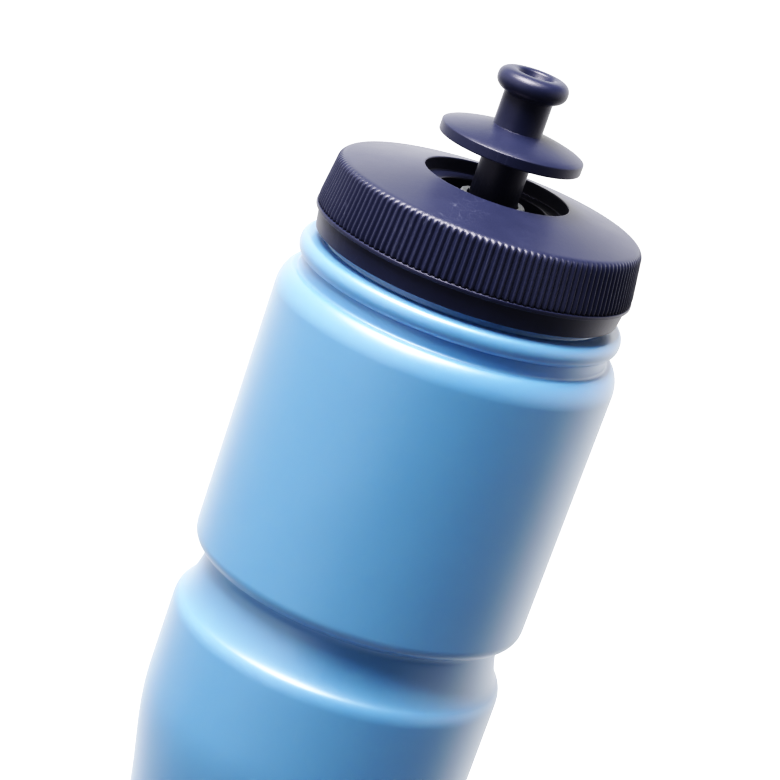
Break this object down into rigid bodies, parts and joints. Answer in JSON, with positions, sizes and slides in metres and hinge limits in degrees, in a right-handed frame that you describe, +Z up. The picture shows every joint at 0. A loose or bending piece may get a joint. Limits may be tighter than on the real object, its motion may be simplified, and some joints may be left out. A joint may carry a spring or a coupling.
{
  "type": "sports squeeze bottle",
  "caption": "Soft squeeze bottle with a gripping waist, a ribbed screw cap and a push-pull drinking spout that closes flush into the cap.",
  "frame": {"origin": "middle of the base, on the surface the bottle stands on", "axes": "+Z up along the bottle's axis, through the spout; the bottle is round, so +X and +Y are any two level directions"},
  "size_m": [0.082, 0.082, 0.2621],
  "materials": {
    "soft_blue_plastic": "satin moulded polyethylene",
    "navy_plastic": "fine-grained moulded polypropylene",
    "pale_silicone": "translucent silicone"
  },
  "bodies": {
    "bottle": {"bottle_body": "soft_blue_plastic"},
    "gasket": {"cap_gasket": "pale_silicone"},
    "cap": {"screw_cap": "navy_plastic", "valve_post": "navy_plastic", "stem_seal": "pale_silicone"},
    "spout": {"spout": "navy_plastic"}
  },
  "joints": [
    {"name": "cap_lift", "type": "slide", "parent": "bottle", "child": "gasket", "axis": [0, 0, 1], "range_m": [0, 0.018]},
    {"name": "cap_twist", "type": "hinge", "parent": "gasket", "child": "cap", "pos_m": [0, 0, 0.22], "axis": [0, 0, 1], "range_deg": [0, 1080]},
    {"name": "spout_slide", "type": "slide", "parent": "cap", "child": "spout", "axis": [0, 0, 1], "range_m": [-0.0112, 0]}
  ],
  "couplings": [
    {"joint": "cap_lift", "follows": "cap_twist", "m_per_rad": 0.00095493}
  ]
}
